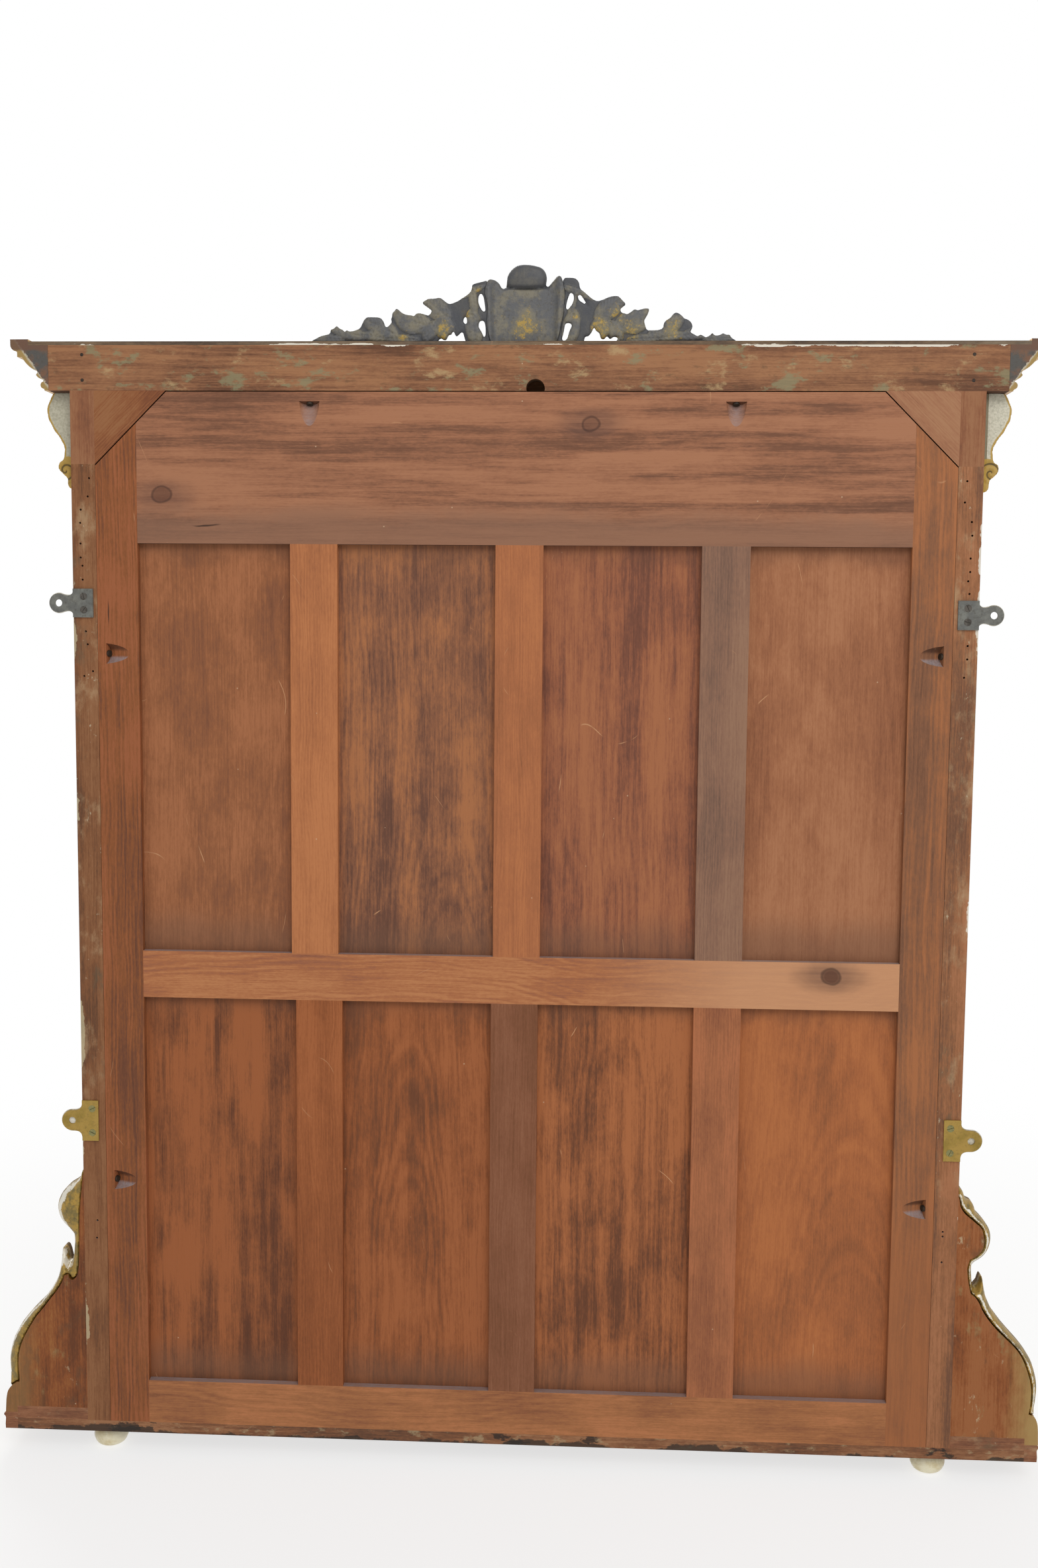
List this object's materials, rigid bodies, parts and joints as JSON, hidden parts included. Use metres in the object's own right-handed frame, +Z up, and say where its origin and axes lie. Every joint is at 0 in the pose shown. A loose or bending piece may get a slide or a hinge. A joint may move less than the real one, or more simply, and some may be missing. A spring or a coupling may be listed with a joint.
{
  "type": "overmantel mirror",
  "caption": "Gilded pine overmantel mirror with a framed and panelled back, moulded cornice, pierced crest, scroll wings, consoles, bun feet and hanging plates",
  "frame": {"origin": "on the shelf under the feet, below the middle of the object's bounding box", "axes": "+Z up; the glass faces -Y and the panelled back faces +Y; +X is to the right of someone facing the glass"},
  "size_m": [1.3198, 0.15, 1.4995],
  "materials": {
    "pine": "aged, unvarnished, reddish brown",
    "pine_pale": "planed, pale",
    "pine_panel": "aged, dusty",
    "pine_dark": "aged, dark brown",
    "gilding": "water gilding over gesso on wood, worn",
    "worn_gilding": "gesso and worn gilding on wood, dusty",
    "mirror_glass": "polished, clear",
    "silvering": "silvered, with a dull red-brown backing coat",
    "dark_steel": "aged, dull",
    "brass": "aged, dull",
    "gesso": "matt white gesso"
  },
  "bodies": {
    "root": {"backboard_stile_left": "pine", "backboard_stile_right": "pine", "backboard_top_rail": "pine", "backboard_mid_rail": "pine_pale", "backboard_bottom_rail": "pine", "muntin_upper_left": "pine", "muntin_upper_centre": "pine", "muntin_upper_right": "pine", "muntin_lower_left": "pine", "muntin_lower_centre": "pine_dark", "muntin_lower_right": "pine", "panels_upper": "pine_panel", "panels_lower": "pine_panel", "post_left": "pine_dark", "post_right": "pine_dark", "frame_top_rail": "pine_dark", "frame_sill": "pine_dark", "corner_block_left": "pine", "corner_block_right": "pine", "face_stile_left": "gilding", "face_stile_right": "gilding", "face_top_rail": "gilding", "face_bottom_rail": "gilding", "frame_moulding_left": "gilding", "frame_moulding_right": "gilding", "frame_moulding_top": "gilding", "frame_moulding_bottom": "gilding", "pilaster_left": "gilding", "pilaster_right": "gilding", "mirror_glass": "mirror_glass", "silvering": "silvering", "glass_blocks": "pine_pale", "cornice_back_board": "pine", "cornice_box": "pine_dark", "cornice_top_board": "pine_dark", "cornice_front_moulding": "gilding", "cornice_return_left": "gilding", "cornice_return_right": "gilding", "crest_shield": "worn_gilding", "crest_garland_left": "worn_gilding", "crest_garland_right": "worn_gilding", "console_side_left": "worn_gilding", "console_side_right": "worn_gilding", "console_front_left": "gilding", "console_front_right": "gilding", "wing_board_left": "pine", "wing_board_right": "pine", "wing_carving_left": "gilding", "wing_carving_right": "gilding", "wing_battens": "pine_pale", "plinth_board": "pine_dark", "plinth_moulding_front": "gilding", "plinth_moulding_ends": "gilding", "bun_feet": "worn_gilding", "steel_hanging_plates": "dark_steel", "brass_hanging_plates": "brass", "plate_screws": "brass", "plate_coats": "gesso", "pocket_screws": "dark_steel", "cornice_nails": "dark_steel"}
  },
  "joints": []
}
